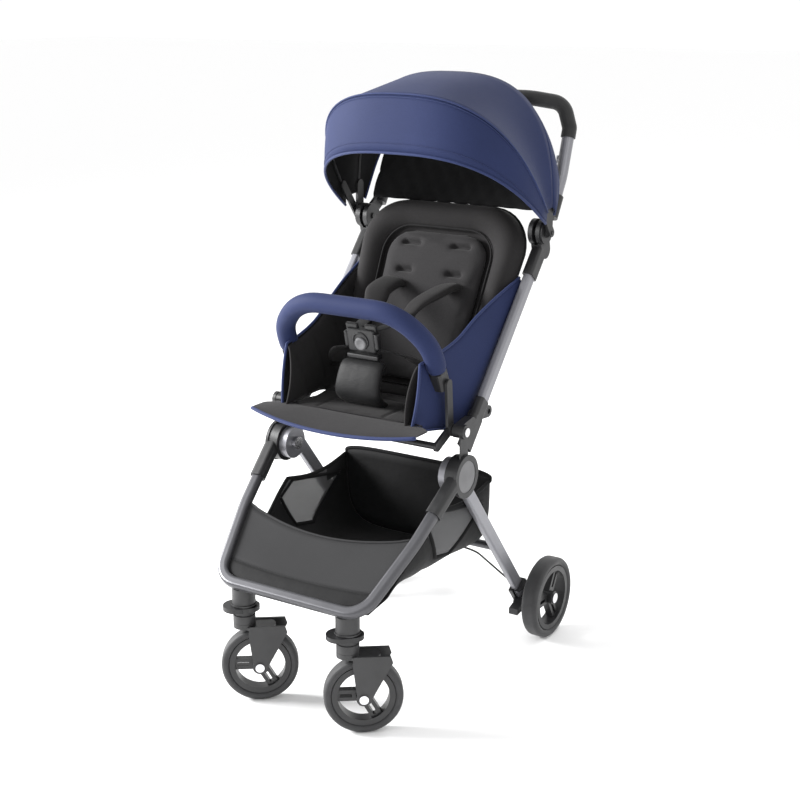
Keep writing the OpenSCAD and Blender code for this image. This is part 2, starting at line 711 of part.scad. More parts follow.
canopy_front_panel();
canopy_visor();
seat_base();
seat_flap();
seat_arms();
crotch_pad();
buckle();
buckle_button();
recline_bar();
backrest();
backrest_pad();
shoulder_pads();
bumper_ends();
bumper_bar();
bumper_tabs();
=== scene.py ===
import math

import bmesh
import bpy
from mathutils import Matrix, Vector


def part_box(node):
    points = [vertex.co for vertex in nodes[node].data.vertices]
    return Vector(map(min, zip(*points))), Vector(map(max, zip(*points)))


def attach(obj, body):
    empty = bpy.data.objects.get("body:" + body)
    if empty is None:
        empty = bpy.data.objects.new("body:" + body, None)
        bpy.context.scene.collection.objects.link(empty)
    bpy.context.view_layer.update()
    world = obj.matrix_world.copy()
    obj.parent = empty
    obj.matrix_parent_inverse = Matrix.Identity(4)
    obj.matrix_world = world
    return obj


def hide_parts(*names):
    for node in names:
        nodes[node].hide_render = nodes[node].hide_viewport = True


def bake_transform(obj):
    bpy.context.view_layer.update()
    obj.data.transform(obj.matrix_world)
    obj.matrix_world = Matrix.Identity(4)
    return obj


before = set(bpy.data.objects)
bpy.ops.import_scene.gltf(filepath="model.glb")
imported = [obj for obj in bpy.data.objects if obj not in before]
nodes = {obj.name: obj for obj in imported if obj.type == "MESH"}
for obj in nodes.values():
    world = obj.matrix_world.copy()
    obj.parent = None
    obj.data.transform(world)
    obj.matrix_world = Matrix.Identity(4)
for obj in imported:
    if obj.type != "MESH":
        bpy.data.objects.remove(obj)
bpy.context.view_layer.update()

# ---------- places ----------

cap_low, cap_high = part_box("hub_caps")
HUB = Vector((0, (cap_low.y + cap_high.y) / 2, (cap_low.z + cap_high.z) / 2))


def at(x, y, z):
    """A point from the hub's centre, in millimetres."""
    return Vector((x / 1000, HUB.y + y / 1000, HUB.z + z / 1000))


PIVOT = at(0, 285, 392)


def lerp(a, b, t):
    return a + (b - a) * t


def curve_through(points, n):
    """n points on a smooth line through the given ones."""
    out = []
    spans = len(points) - 1
    for i in range(n):
        f = i / (n - 1) * spans
        k = min(int(f), spans - 1)
        t = f - k
        p0, p1, p2, p3 = points[max(k - 1, 0)], points[k], points[k + 1], points[min(k + 2, spans)]
        out.append(0.5 * (2 * p1 + (p2 - p0) * t + (2 * p0 - 5 * p1 + 4 * p2 - p3) * t * t
                          + (3 * p1 - p0 - 3 * p2 + p3) * t ** 3))
    return out


# ---------- materials ----------


class Nodes:
    """A material's node tree, with short calls to add to it."""

    def __init__(self, name):
        self.mat = bpy.data.materials.new(name)
        self.mat.use_nodes = True
        self.tree = self.mat.node_tree
        self.bsdf = self.tree.nodes["Principled BSDF"]
        self.coords = self.add("ShaderNodeTexCoord").outputs["Object"]

    def add(self, kind, **values):
        node = self.tree.nodes.new(kind)
        for key, value in values.items():
            if key in node.inputs:
                node.inputs[key].default_value = value
            else:
                setattr(node, key, value)
        return node

    def link(self, a, b):
        self.tree.links.new(a, b)

    def noise(self, scale, detail=2.0):
        node = self.add("ShaderNodeTexNoise", Scale=scale, Detail=detail)
        self.link(self.coords, node.inputs["Vector"])
        return node.outputs["Fac"]

    def wave(self, scale, direction, distortion=0.0):
        node = self.add("ShaderNodeTexWave", Scale=scale, Distortion=distortion, bands_direction=direction)
        self.link(self.coords, node.inputs["Vector"])
        return node.outputs["Fac"]

    def math(self, how, a, b):
        node = self.add("ShaderNodeMath", operation=how)
        for k, v in enumerate((a, b)):
            if isinstance(v, (int, float)):
                node.inputs[k].default_value = v
            else:
                self.link(v, node.inputs[k])
        return node.outputs[0]

    def ramp(self, fac, low, high, a=0.3, b=0.7):
        node = self.add("ShaderNodeValToRGB")
        node.color_ramp.elements[0].position = a
        node.color_ramp.elements[0].color = (*low, 1)
        node.color_ramp.elements[1].position = b
        node.color_ramp.elements[1].color = (*high, 1)
        self.link(fac, node.inputs["Fac"])
        return node.outputs["Color"]

    def bump(self, height, strength, distance, after=None):
        node = self.add("ShaderNodeBump", Strength=strength, Distance=distance)
        self.link(height, node.inputs["Height"])
        if after is not None:
            self.link(after, node.inputs["Normal"])
        return node.outputs["Normal"]

    def finish(self, color, rough, normal, **fixed):
        self.link(color, self.bsdf.inputs["Base Color"])
        if isinstance(rough, (int, float)):
            self.bsdf.inputs["Roughness"].default_value = rough
        else:
            self.link(rough, self.bsdf.inputs["Roughness"])
        self.link(normal, self.bsdf.inputs["Normal"])
        for key, value in fixed.items():
            self.bsdf.inputs[key.replace("_", " ")].default_value = value
        return self.mat


def shade(color, k):
    return tuple(min(1, c * k) for c in color)


def cloth(name, color, thread=300, melange=0.16, wrinkle=0.5, sheen=0.25, rough=0.85):
    n = Nodes(name)
    yarn = n.noise(900, 3)
    patch = n.noise(9, 2)
    tone = n.math("ADD", n.math("MULTIPLY", yarn, 0.7), n.math("MULTIPLY", patch, 0.3))
    color_out = n.ramp(tone, shade(color, 1 - melange), shade(color, 1 + melange))
    weave = n.math("ADD", n.wave(thread, "X"), n.math("ADD", n.wave(thread, "Y"), n.wave(thread, "Z")))
    normal = n.bump(weave, 0.18, 0.0004)
    normal = n.bump(n.noise(16, 3), wrinkle, 0.006, normal)
    return n.finish(color_out, rough, normal, Sheen_Weight=sheen, Sheen_Roughness=0.45, Specular_IOR_Level=0.16)


def paint(name, color, rough=0.35, metallic=0.55, coat=0.15):
    n = Nodes(name)
    flake = n.noise(1400, 2)
    color_out = n.ramp(flake, shade(color, 0.88), shade(color, 1.14))
    rough_out = n.math("ADD", n.math("MULTIPLY", n.noise(30, 3), 0.16), rough - 0.08)
    normal = n.bump(flake, 0.12, 0.0003)
    return n.finish(color_out, rough_out, normal, Metallic=metallic, Coat_Weight=coat, Coat_Roughness=0.3)


def plastic(name, color, rough=0.45, grain=0.25):
    n = Nodes(name)
    spark = n.noise(1100, 3)
    color_out = n.ramp(n.noise(25, 4), shade(color, 0.85), shade(color, 1.15))
    rough_out = n.math("ADD", n.math("MULTIPLY", n.noise(60, 3), 0.2), rough - 0.1)
    normal = n.bump(spark, grain, 0.0005)
    return n.finish(color_out, rough_out, normal)


def rubber(name, color, rough=0.62):
    n = Nodes(name)
    color_out = n.ramp(n.noise(40, 4), shade(color, 0.8), shade(color, 1.25))
    rough_out = n.math("ADD", n.math("MULTIPLY", n.noise(50, 4), 0.3), rough - 0.15)
    normal = n.bump(n.noise(700, 3), 0.3, 0.0006)
    return n.finish(color_out, rough_out, normal, Sheen_Weight=0.1)


def metal(name, color, rough=0.22):
    n = Nodes(name)
    stretched = n.add("ShaderNodeMapping")
    stretched.inputs["Scale"].default_value = (30, 600, 600)
    n.link(n.coords, stretched.inputs["Vector"])
    brush = n.add("ShaderNodeTexNoise", Scale=1.0, Detail=3.0)
    n.link(stretched.outputs[0], brush.inputs["Vector"])
    color_out = n.ramp(brush.outputs["Fac"], shade(color, 0.85), shade(color, 1.1))
    rough_out = n.math("ADD", n.math("MULTIPLY", brush.outputs["Fac"], 0.15), rough - 0.05)
    return n.finish(color_out, rough_out, n.bump(brush.outputs["Fac"], 0.1, 0.0002), Metallic=1.0)


def mesh_cloth(name, color):
    """A net: fine holes in a grid."""
    n = Nodes(name)
    holes = n.math("MULTIPLY", n.wave(200, "Y"), n.wave(200, "Z"))
    color_out = n.ramp(holes, shade(color, 1.2), shade(color, 0.7))
    mat = n.finish(color_out, 0.8, n.bump(holes, 0.4, 0.0006), Sheen_Weight=0.2)
    n.link(n.math("SUBTRACT", 0.9, n.math("MULTIPLY", holes, 0.5)), n.bsdf.inputs["Alpha"])
    return mat


NAVY = cloth("navy_cloth", (0.016, 0.024, 0.074), sheen=0.04, wrinkle=0.1, rough=0.68)
NAVY_TRIM = cloth("navy_binding", (0.024, 0.035, 0.1), sheen=0.05, wrinkle=0.05, rough=0.6)
LINING = cloth("black_lining", (0.007, 0.007, 0.0075), wrinkle=0.3, sheen=0.03)
SEAT = cloth("charcoal_melange", (0.019, 0.018, 0.0185), melange=0.3, wrinkle=0.18, sheen=0.05)
SEAT_PALE = cloth("charcoal_melange_pale", (0.024, 0.023, 0.024), melange=0.3, wrinkle=0.14, sheen=0.08)
WEBBING = cloth("black_webbing", (0.010, 0.010, 0.0105), thread=420, wrinkle=0.1, sheen=0.05, rough=0.7)
NYLON = cloth("black_nylon", (0.011, 0.011, 0.0115), thread=380, wrinkle=0.5, sheen=0.04, rough=0.5)
THREAD = cloth("charcoal_thread", (0.013, 0.0125, 0.013), thread=700, wrinkle=0.05, sheen=0.04)
BASKET = cloth("basket_cloth", (0.011, 0.011, 0.0115), wrinkle=0.45, sheen=0.04, rough=0.7)
PANEL = cloth("footrest_cloth", (0.026, 0.026, 0.027), wrinkle=0.1, sheen=0.04, rough=0.75)
NET = mesh_cloth("basket_net", (0.075, 0.075, 0.078))
FRAME_DARK = paint("frame_grey_paint", (0.075, 0.075, 0.082))
FRAME_SILVER = paint("frame_silver_paint", (0.23, 0.23, 0.25), rough=0.4)
BLACK = plastic("black_plastic", (0.011, 0.011, 0.012))
DARK_GREY = plastic("caster_plastic", (0.022, 0.022, 0.023), rough=0.45)
CAP = plastic("hub_cap_plastic", (0.12, 0.12, 0.125), rough=0.4)
WHEEL = plastic("wheel_plastic", (0.014, 0.014, 0.015), rough=0.4)
TYRE = rubber("tyre_rubber", (0.024, 0.024, 0.0255))
FOAM = rubber("grip_foam", (0.011, 0.011, 0.0115), rough=0.75)
CABLE = rubber("cable_rubber", (0.012, 0.012, 0.012), rough=0.4)
STEEL = metal("bright_steel", (0.72, 0.72, 0.74))
BUTTON = plastic("grey_button", (0.55, 0.56, 0.60), rough=0.3, grain=0.05)

CAD_LOOK = {
    FRAME_DARK: ["front_frame", "recline_bar", "rear_cross_tube"],
    FRAME_SILVER: ["rear_legs", "side_tubes", "handle_tube"],
    BLACK: ["front_sockets", "hub_covers", "rear_brackets", "brake_pedal", "side_sleeves", "mid_blocks",
            "block_covers", "handle_knuckles", "canopy_clamps", "canopy_mid_bow", "canopy_front_bow", "seat_arms",
            "bumper_ends", "bumper_tabs", "swivel_lock_left", "swivel_lock_right"],
    DARK_GREY: ["caster_columns", "caster_fork_left", "caster_fork_right"],
    CAP: ["hub_caps"],
    WHEEL: ["rear_rim_left", "rear_rim_right", "front_rim_left", "front_rim_right"],
    TYRE: ["rear_tyre_left", "rear_tyre_right", "front_tyre_left", "front_tyre_right"],
    FOAM: ["handle_grips"],
    STEEL: ["hub_pins", "rear_axles", "front_bolt_left", "front_bolt_right", "fold_pins"],
    BUTTON: ["handle_button"],
    CABLE: ["brake_cable"],
}
for look, names in CAD_LOOK.items():
    for node_name in names:
        data = nodes[node_name].data
        data.materials.clear()
        data.materials.append(look)

# ---------- mesh making ----------


def from_mesh(name, verts, faces, mats, smooth=True):
    mesh = bpy.data.meshes.new(name)
    mesh.from_pydata([tuple(v) for v in verts], [], faces)
    bm = bmesh.new()
    bm.from_mesh(mesh)
    bmesh.ops.remove_doubles(bm, verts=bm.verts, dist=1e-6)
    bmesh.ops.recalc_face_normals(bm, faces=bm.faces)
    bm.to_mesh(mesh)
    bm.free()
    for face in mesh.polygons:
        face.use_smooth = smooth
    obj = bpy.data.objects.new(name, mesh)
    bpy.context.collection.objects.link(obj)
    for m in mats:
        mesh.materials.append(m)
    return obj


def bake(obj):
    """Applies the object's modifiers."""
    graph = bpy.context.evaluated_depsgraph_get()
    mesh = bpy.data.meshes.new_from_object(obj.evaluated_get(graph))
    obj.modifiers.clear()
    obj.data = mesh
    return obj


def grid(name, rows, mats, toward=None):
    """A sheet over rows of points. toward is a point, and 1 to face away from it or -1 to face it."""
    cols = len(rows[0])
    faces = [(i * cols + j, i * cols + j + 1, (i + 1) * cols + j + 1, (i + 1) * cols + j)
             for i in range(len(rows) - 1) for j in range(cols - 1)]
    mesh = bpy.data.meshes.new(name)
    mesh.from_pydata([tuple(p) for row in rows for p in row], [], faces)
    obj = bpy.data.objects.new(name, mesh)
    bpy.context.collection.objects.link(obj)
    for m in mats:
        mesh.materials.append(m)
    for face in mesh.polygons:
        face.use_smooth = True
    if toward is not None:
        score = sum((f.center - toward[0]).dot(f.normal) * f.area for f in mesh.polygons) * toward[1]
        if score < 0:
            mesh.flip_normals()
    return obj


def sheet_size(rows):
    """The longest row, the longest column and the area of a sheet, in metres."""
    def length(line):
        return sum((b - a).length for a, b in zip(line, line[1:]))
    wide = max(length(r) for r in rows)
    long = max(length(c) for c in zip(*rows))
    area = 0
    for a, b in zip(rows, rows[1:]):
        for j in range(len(a) - 1):
            area += ((b[j + 1] - a[j]).cross(a[j + 1] - b[j])).length / 2
    return wide, long, area


def thicken(obj, t, inner=0):
    solid = obj.modifiers.new("thick", "SOLIDIFY")
    solid.thickness = t
    solid.offset = -1
    solid.material_offset = inner
    solid.material_offset_rim = 0
    return bake(obj)


def sheet_piece(name, rows, mats, t, toward, inner=0):
    obj = thicken(grid(name, rows, mats, toward), t, inner)
    wide, long, area = sheet_size(rows)
    return obj


def frames_along(points, up):
    """Side and up directions at each point of a line."""
    out = []
    for i, p in enumerate(points):
        d = (points[min(i + 1, len(points) - 1)] - points[max(i - 1, 0)]).normalized()
        up = (up - d * up.dot(d)).normalized()
        out.append((d.cross(up), up))
    return out


def tube(name, points, r, mats, up=Vector((0, 0, 1)), sides=14, wide=1.0, closed=True, scale=None, power=1.0):
    """A tube along a line. wide stretches it sideways, and scale gives its size at each part of its length."""
    rings = []
    for i, (p, (side, top)) in enumerate(zip(points, frames_along(points, up))):
        k = scale(i / (len(points) - 1)) if scale else 1.0
        ring = []
        for j in range(sides):
            a = 2 * math.pi * j / sides
            c, s = math.cos(a), math.sin(a)
            c, s = math.copysign(abs(c) ** power, c), math.copysign(abs(s) ** power, s)
            ring.append(p + side * c * r * wide * k + top * s * r * k)
        rings.append(ring)
    verts = [v for ring in rings for v in ring]
    faces = [(i * sides + j, i * sides + (j + 1) % sides, (i + 1) * sides + (j + 1) % sides, (i + 1) * sides + j)
             for i in range(len(rings) - 1) for j in range(sides)]
    if closed:
        faces += [tuple(range(sides)), tuple(range(len(verts) - sides, len(verts)))]
    return from_mesh(name, verts, faces, mats)


def resample(outline, n):
    """n points evenly spaced round a closed outline of (x, y)."""
    pts = list(outline) + [outline[0]]
    lengths = [math.dist(a, b) for a, b in zip(pts, pts[1:])]
    total = sum(lengths)
    out, k, done = [], 0, 0.0
    for i in range(n):
        want = total * i / n
        while done + lengths[k] < want:
            done += lengths[k]
            k += 1
        t = (want - done) / lengths[k]
        out.append((lerp(pts[k][0], pts[k + 1][0], t), lerp(pts[k][1], pts[k + 1][1], t)))
    return out


def round_outline(half_low, half_high, low, high, r_low, r_high, n=96):
    """A closed outline, wider or narrower at the top, with rounded corners, from its bottom middle."""
    def corner(cx, cy, r, a0, a1):
        return [(cx + r * math.cos(math.radians(lerp(a0, a1, i / 8))),
                 cy + r * math.sin(math.radians(lerp(a0, a1, i / 8)))) for i in range(9)]
    right = corner(half_low - r_low, low + r_low, r_low, -90, 0)
    right += corner(half_high - r_high, high - r_high, r_high, 0, 90)
    left = [(-x, y) for x, y in reversed(right)]
    return resample([(0, low)] + right + [(0, high)] + left, n)


def pillow(name, rings, mats, to_world):
    """Nested closed rings of (x, y, z), from the back's middle round the edge to the front's middle."""
    n = len(rings[0])
    verts = [to_world(*p) for ring in rings for p in ring]
    faces = [(i * n + j, i * n + (j + 1) % n, (i + 1) * n + (j + 1) % n, (i + 1) * n + j)
             for i in range(len(rings) - 1) for j in range(n)]
    for i in (0, len(rings) - 1):
        ring = rings[i]
        centre = [sum(p[k] for p in ring) / n for k in range(3)]
        verts.append(to_world(*centre))
        last = len(verts) - 1
        faces += [(i * n + j, i * n + (j + 1) % n, last) for j in range(n)]
    return from_mesh(name, verts, faces, mats)


def puff(obj, cap, pressure=4.0, frames=18, voxel=0.006):
    """Blows up a closed shape as stuffed cloth; no point moves further than cap."""
    remesh = obj.modifiers.new("voxels", "REMESH")
    remesh.mode = "VOXEL"
    remesh.voxel_size = voxel
    bake(obj)
    start = [v.co.copy() for v in obj.data.vertices]
    soft = obj.modifiers.new("cloth", "CLOTH")
    soft.settings.use_pressure = True
    soft.settings.uniform_pressure_force = pressure
    soft.settings.effector_weights.gravity = 0
    soft.settings.tension_stiffness = 12
    soft.settings.bending_stiffness = 0.4
    for f in range(1, frames + 1):
        bpy.context.scene.frame_set(f)
    bake(obj)
    bpy.context.scene.frame_set(1)
    for v, a in zip(obj.data.vertices, start):
        move = v.co - a
        if move.length > cap:
            v.co = a + move * (cap / move.length)
    for face in obj.data.polygons:
        face.use_smooth = True
    return obj


def reshape(obj, how):
    for v in obj.data.vertices:
        v.co = how(v.co)
    return obj


def smoothed(obj, levels=1):
    sub = obj.modifiers.new("sub", "SUBSURF")
    sub.levels = sub.render_levels = levels
    bake(obj)
    for face in obj.data.polygons:
        face.use_smooth = True
    return obj


# ---------- canopy ----------

T = [math.radians(lerp(3, 177, i / 56)) for i in range(57)]


def bow(t, w, h, slope):
    x = w * math.copysign(abs(math.cos(t)) ** 0.74, math.cos(t))
    reach = h * math.sin(t) ** 0.61
    a = math.radians(slope)
    return Vector((x, -reach * math.cos(a), reach * math.sin(a))) / 1000


def rear_point(t):
    return bow(t, 211, 214, lerp(126, 103, math.sin(t) ** 0.7))


def mid_point(t):
    return bow(t, 216, 284, 90)


def front_point(t):
    return bow(t, 222, 316, 53)


def visor_point(t):
    p = front_point(t)
    f = math.sin(t) ** 0.55
    return Vector((p.x * lerp(1, 0.985, f), p.y - 0.0145 * f, p.z - 0.101 * f))


def canopy_rows(a, b, n, bulge):
    return [[PIVOT + lerp(a(t), b(t), k / n) * (1 + bulge(k / n, t)) for t in T] for k in range(n + 1)]


inside = (PIVOT + Vector((0, -0.05, 0.08)), 1)
rear_rows = canopy_rows(rear_point, mid_point, 8, lambda v, t: 0.08 * v * (1 - v))


def front_bulge(v, t):
    """The front panel rises a little along the top and dips at its shoulders."""
    crown = 0.02 * math.sin(t) ** 4
    shoulder = 0.05 * abs(math.cos(t)) * math.sin(t) ** 0.3
    return math.sin(math.pi * v) * (crown - shoulder)


front_rows = canopy_rows(mid_point, front_point, 14, front_bulge)
visor_rows = canopy_rows(front_point, visor_point, 8, lambda v, t: 0.045 * v * (1 - v) * math.sin(t))

canopy_rear = sheet_piece("canopy_rear_cloth", rear_rows, [NAVY, LINING], 0.0022, inside,
                          1)
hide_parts("canopy_rear")
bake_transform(canopy_rear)

canopy_front = sheet_piece("canopy_front_cloth", front_rows, [NAVY, LINING], 0.0022, inside,
                           1)
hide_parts("canopy_front_panel")
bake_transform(canopy_front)

visor = sheet_piece("canopy_visor_cloth", visor_rows, [NAVY, LINING], 0.0022, inside,
                    1)
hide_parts("canopy_visor")
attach(visor, "canopy_front")


def trim(name, points, r, mats, body, **more):
    obj = tube(name, points, r, mats, **more)
    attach(obj, body)
    return obj


def lifted(rows, i, by):
    """A row of a canopy sheet, moved out from the pivot."""
    return [p + (p - PIVOT).normalized() * by for p in rows[i]]


trim("canopy_front_piping", lifted(visor_rows, 0, 0.0008), 0.0017, [NAVY_TRIM], "canopy_front", sides=8)
seam = [lerp(a, b, 0.45) for a, b in zip(lifted(visor_rows, 0, 0.0002), lifted(visor_rows, 1, 0.0002))]
trim("canopy_visor_seam", seam, 0.0008, [NAVY_TRIM], "canopy_front", sides=6)
trim("canopy_visor_binding", lifted(visor_rows, 8, -0.001), 0.0026, [NAVY_TRIM], "canopy_front", sides=10)
hem = [lerp(a, b, 0.8) for a, b in zip(lifted(visor_rows, 6, 0.0002), lifted(visor_rows, 7, 0.0002))]
trim("canopy_visor_hem", hem, 0.0007, [NAVY], "canopy_front", sides=6)
trim("canopy_rear_binding", lifted(rear_rows, 0, -0.001), 0.0024, [NAVY_TRIM], "handle", sides=10)

# ---------- backrest ----------

SLOPE = math.radians(63.5)
BACK = at(0, 116, 88)
ALONG = Vector((0, math.cos(SLOPE), math.sin(SLOPE)))
OUT = Vector((0, -math.sin(SLOPE), math.cos(SLOPE)))


def on_back(x, y, z):
    """A point on the backrest: x across, y up it, z out of it, in millimetres."""
    return BACK + (Vector((1, 0, 0)) * x + ALONG * y + OUT * z) / 1000


outer = round_outline(150, 175, -14, 383, 40, 84)
inner = round_outline(112, 119, 22, 330, 18, 56)


def bolster_ring(r, z):
    return [(lerp(a[0], b[0], r), lerp(a[1], b[1], r), z) for a, b in zip(outer, inner)]


bolster_rings = [bolster_ring(0.9, -17), bolster_ring(0.45, -18), bolster_ring(0.1, -16), bolster_ring(-0.03, -9)]
for k in range(1, 15):
    r = k / 14
    swell = math.sin(math.pi * min(1, r * 0.93 + 0.02)) ** 0.55
    bolster_rings.append(bolster_ring(r, -6 + 32 * swell * (1 - 0.22 * r)))
bolster_rings.append(bolster_ring(1.0, -2))
bolster_rings.append(bolster_ring(1.15, -3))
bolster = smoothed(pillow("backrest_bolster", bolster_rings, [SEAT], on_back))
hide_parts("backrest")
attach(bolster, "backrest")
trim("backrest_edge_piping", [on_back(x * 1.003, y, -8) for x, y in outer + outer[:1]], 0.0022, [THREAD], "backrest",
     up=OUT, closed=False)
trim("backrest_inner_piping", [on_back(x, y, 9.5) for x, y in inner + inner[:1]], 0.0018, [THREAD], "backrest",
     up=OUT, closed=False)

pad_line = round_outline(107, 114, 26, 325, 16, 52)
pad_rings = [[(x * s, 175 + (y - 175) * s, z) for x, y in pad_line]
             for s, z in ((0.6, 0), (0.97, 0), (1.0, 4), (0.985, 10), (0.93, 13), (0.8, 15.5), (0.6, 17), (0.3, 18))]
pad = puff(pillow("backrest_pad_cushion", pad_rings, [SEAT_PALE], lambda x, y, z: Vector((x, y, z)) / 1000), 0.005)
DIMPLES = [(54, 294, 15), (-54, 294, 15), (54, 239, 11), (-54, 239, 11)]


def pressed(co):
    x, y, z = co * 1000
    if z > 4:
        for cx, cy, half in DIMPLES:
            dx = max(0.0, abs(x - cx) - half)
            d = math.hypot(dx, (y - cy) * 1.15)
            z -= 5.0 * math.exp(-(d / 10.0) ** 2) + 8.0 * math.exp(-(d / 5.5) ** 4)
        crease = abs(x) - 88
        if y < 150:
            z -= 1.6 * math.exp(-(crease / 5) ** 2) * min(1, (150 - y) / 60)
    return on_back(x, y, z)


pad = reshape(smoothed(pad), pressed)
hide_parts("backrest_pad")
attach(pad, "backrest")

# ---------- harness ----------

for side in (-1, 1):
    tag = "right" if side > 0 else "left"
    path = curve_through([on_back(side * 56, 208, 12), on_back(side * 60, 210, 34), at(side * 57, 126, 285),
                          at(side * 46, 96, 274), at(side * 38, 72, 256)], 26)
    strap_pad = tube("shoulder_pad_" + tag, path, 0.0075, [SEAT], up=Vector((0, 0, 1)), sides=24, wide=2.9,
                     scale=lambda t: 0.84 + 0.26 * math.sin(math.pi * min(1, t * 1.15)) ** 0.6, power=0.75)
    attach(strap_pad, "backrest")
    if side > 0:
        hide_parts("shoulder_pads")
    side_dir, up_dir = frames_along(path, Vector((0, 0, 1)))[-1]
    rim = []
    for i in range(25):
        c, s = math.cos(math.tau * i / 24), math.sin(math.tau * i / 24)
        c, s = math.copysign(abs(c) ** 0.75, c), math.copysign(abs(s) ** 0.75, s)
        rim.append(path[-1] + c * side_dir * 0.0195 + s * up_dir * 0.0072)
    trim("shoulder_pad_hem_" + tag, rim, 0.0014, [WEBBING], "backrest", closed=False, sides=8)
    web = curve_through([path[-3], at(side * 34, 52, 249), at(side * 27, 22, 244), at(side * 20, -6, 242)], 18)
    trim("shoulder_web_" + tag, web, 0.0011, [WEBBING], "seat", wide=11, sides=12)
    waist = curve_through([at(side * 128, 84, 140), at(side * 100, 50, 168), at(side * 66, 14, 196),
                           at(side * 34, -8, 206)], 18)
    trim("waist_web_" + tag, waist, 0.0011, [WEBBING], "seat", wide=11, sides=12)
    waist_pad = tube("waist_pad_" + tag, waist[3:12], 0.0055, [SEAT], sides=20, wide=3.2,
                     scale=lambda t: 0.6 + 0.5 * math.sin(math.pi * t) ** 0.5, power=0.75)
    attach(waist_pad, "seat")

# ---------- seat ----------


cushion_line = round_outline(140, 146, -84, 108, 14, 34, 88)
cushion_rings = [[(x * s, 12 + (y - 12) * s, z) for x, y in cushion_line]
                 for s, z in ((0.5, 75), (0.96, 75), (1.0, 80), (0.995, 88), (0.96, 93), (0.85, 95), (0.6, 96.5),
                              (0.3, 97))]
cushion = puff(pillow("seat_cushion", cushion_rings, [SEAT], lambda x, y, z: Vector((x, y, z)) / 1000), 0.006)


def seated(co):
    x, y, z = co * 1000
    if z > 88:
        z -= 2.2 * math.exp(-((abs(x) - 70) / 4) ** 2) * (1 if y > -60 else 0)
        z -= 2.2 * math.exp(-((y - 40) / 4) ** 2) * (1 if abs(x) < 120 else 0)
    return at(x, y, min(z, 104))


cushion = reshape(smoothed(cushion), seated)
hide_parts("seat_base")
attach(cushion, "seat")


def flap_edges(u):
    a = abs(u)
    front = Vector((176 * u, -116 - 19 * (1 - a ** 2.4), 84 + 14 * a ** 2))
    back = Vector((176 * u, -54 - 26 * a ** 8, 96 + 2 * a ** 2))
    return front, back


flap_rows, under = [], []
for k in range(13):
    v = k / 12
    row, low = [], []
    for i in range(61):
        u = lerp(-1, 1, i / 60)
        front, back = flap_edges(u)
        p = lerp(front, back, v)
        swell = 5.5 * (max(0, 4 * v * (1 - v)) ** 0.5) * (1 - abs(u) ** 6)
        row.append(at(p.x, p.y, p.z + swell))
        low.append(at(p.x, p.y, p.z - 0.6 * swell - 1.5))
    flap_rows.append(row)
    under.append(low)
flap_top = [v for row in flap_rows for v in row]
flap_low = [v for row in under for v in row]
cols, count = 61, len(flap_top)
flap_faces = [(i * cols + j, i * cols + j + 1, (i + 1) * cols + j + 1, (i + 1) * cols + j)
              for i in range(12) for j in range(60)]
flap_faces += [tuple(count + n for n in reversed(f)) for f in flap_faces]
edge = [j for j in range(61)] + [i * cols + 60 for i in range(1, 13)] + [12 * cols + j for j in range(59, -1, -1)] + \
    [i * cols for i in range(11, 0, -1)]
flap_faces += [(a, b, count + b, count + a) for a, b in zip(edge, edge[1:] + edge[:1])]
flap = smoothed(from_mesh("seat_front_flap", flap_top + flap_low, flap_faces, [SEAT_PALE]))
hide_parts("seat_flap")
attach(flap, "seat")
front_edge = [flap_edges(lerp(-0.99, 0.99, i / 60))[0] for i in range(61)]
trim("seat_flap_binding", [at(p.x, p.y - 0.5, p.z - 2.5) for p in front_edge], 0.0034, [NAVY_TRIM], "seat", sides=10)
stitch_line = []
for i in range(61):
    front, back = flap_edges(lerp(-0.9, 0.9, i / 60))
    p = lerp(front, back, 0.9)
    stitch_line.append(at(p.x, p.y, p.z + 4.6))
trim("seat_flap_seam", stitch_line, 0.0013, [THREAD], "seat", sides=8)

# The crotch pad folds up from the cushion to the buckle.
crotch_path = curve_through([at(0, 0, 104), at(0, -18, 112), at(0, -33, 128), at(0, -31, 150), at(0, -20, 174),
                             at(0, -9, 178), at(0, -6, 162)], 34)
crotch = tube("crotch_strap_pad", crotch_path, 0.0078, [NYLON], up=Vector((0, -1, 0)), sides=28, wide=5.9,
              scale=lambda t: (1.1 - 0.2 * t) * (0.8 + 0.2 * min(1, t / 0.3) ** 0.5), power=0.6)
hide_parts("crotch_pad")
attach(crotch, "seat")

# ---------- buckle ----------


def block(name, centre, size, mats, body, radius=0.003, turn=0.0, segments=4):
    bm = bmesh.new()
    bmesh.ops.create_cube(bm, size=1.0)
    bmesh.ops.scale(bm, vec=Vector(size) / 1000, verts=bm.verts)
    bmesh.ops.bevel(bm, geom=bm.edges[:], offset=radius, segments=segments, profile=0.6, affect="EDGES")
    mesh = bpy.data.meshes.new(name)
    bm.to_mesh(mesh)
    bm.free()
    mesh.transform(Matrix.Translation(centre) @ Matrix.Rotation(math.radians(turn), 4, "X"))
    for face in mesh.polygons:
        face.use_smooth = True
    obj = bpy.data.objects.new(name, mesh)
    bpy.context.collection.objects.link(obj)
    for m in mats:
        mesh.materials.append(m)
    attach(obj, body)
    return obj


def ring(name, centre, axis, r, thick, mats, body, sides=40):
    """A round ring."""
    side = axis.orthogonal().normalized()
    up = axis.cross(side)
    pts = [centre + side * math.cos(math.tau * i / sides) * r + up * math.sin(math.tau * i / sides) * r
           for i in range(sides + 1)]
    return trim(name, pts, thick, mats, body, up=axis, sides=10, closed=False)


